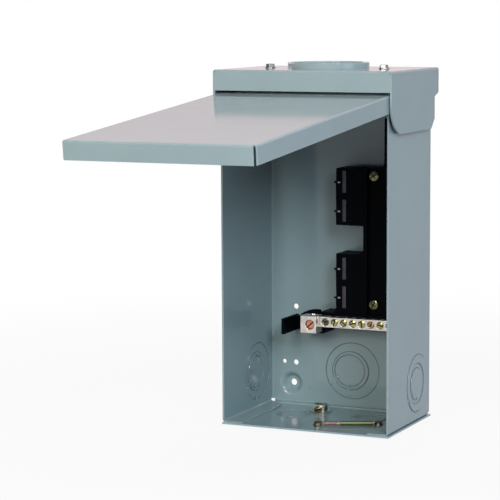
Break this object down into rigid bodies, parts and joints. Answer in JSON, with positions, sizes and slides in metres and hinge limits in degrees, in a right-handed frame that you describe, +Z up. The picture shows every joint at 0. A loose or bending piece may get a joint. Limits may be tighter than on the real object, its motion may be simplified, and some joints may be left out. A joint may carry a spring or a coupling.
{
  "type": "subpanel enclosure",
  "caption": "Wall-mounted outdoor sheet-steel subpanel box with a hooded cap, flip-up pan door, breaker base, neutral bar and ground lug.",
  "frame": {"origin": "middle of the four wall holes, on the wall that the standoffs rest against", "axes": "+Z up, +Y into the wall, +X to the right as seen from the front"},
  "size_m": [0.1612, 0.3792, 0.3114],
  "materials": {
    "grey_paint": "semi-gloss grey powder coat on steel sheet",
    "plated_screw": "zinc plate",
    "black_moulding": "satin moulded thermoset",
    "rail_steel": "dull zinc plate",
    "yellow_zinc": "yellow chromate zinc",
    "tinned_bus": "tin plate",
    "lug_aluminium": "drilled extruded aluminium",
    "copper_screw": "copper-washed steel",
    "bare_copper": "bare copper",
    "green_insulation": "extruded insulation",
    "green_screw": "green dyed zinc"
  },
  "bodies": {
    "box": {"body_shell": "grey_paint", "bottom_plate": "grey_paint", "top_cap": "grey_paint", "hub_closure": "grey_paint", "hub_screws": "plated_screw", "hinge_pin_left": "plated_screw", "hinge_pin_right": "plated_screw", "interior_base": "black_moulding", "neutral_support": "black_moulding", "hook_rails": "rail_steel", "base_screws": "yellow_zinc", "bus_screws": "yellow_zinc", "neutral_screws": "yellow_zinc", "ground_foot_screw": "yellow_zinc", "bond_terminal_screw": "yellow_zinc", "line_bus_a": "tinned_bus", "line_bus_b": "tinned_bus", "line_lug_a": "lug_aluminium", "line_lug_b": "lug_aluminium", "neutral_bar": "lug_aluminium", "neutral_lug": "lug_aluminium", "ground_lug": "lug_aluminium", "bond_conductor": "bare_copper", "bond_sleeve": "green_insulation", "bonding_screw": "green_screw"},
    "door": {"door": "grey_paint"},
    "neutral_clamp": {"neutral_lug_screw": "copper_screw"},
    "ground_clamp": {"ground_lug_screw": "yellow_zinc"},
    "line_clamp_a": {"line_screw_a": "yellow_zinc"},
    "line_clamp_b": {"line_screw_b": "yellow_zinc"}
  },
  "joints": [
    {"name": "door_hinge", "type": "hinge", "parent": "box", "child": "door", "pos_m": [0, -0.1018, 0.1286], "axis": [1, 0, 0], "range_deg": [-5, 85]},
    {"name": "neutral_clamp_travel", "type": "slide", "parent": "box", "child": "neutral_clamp", "axis": [0, 1, 0], "range_m": [-0.0018, 0.0055]},
    {"name": "ground_clamp_travel", "type": "slide", "parent": "box", "child": "ground_clamp", "axis": [0, 1, 0], "range_m": [-0.0015, 0.005]},
    {"name": "line_clamp_a_travel", "type": "slide", "parent": "box", "child": "line_clamp_a", "axis": [0, 1, 0], "range_m": [-0.002, 0.0055]},
    {"name": "line_clamp_b_travel", "type": "slide", "parent": "box", "child": "line_clamp_b", "axis": [0, 1, 0], "range_m": [-0.002, 0.0055]}
  ]
}
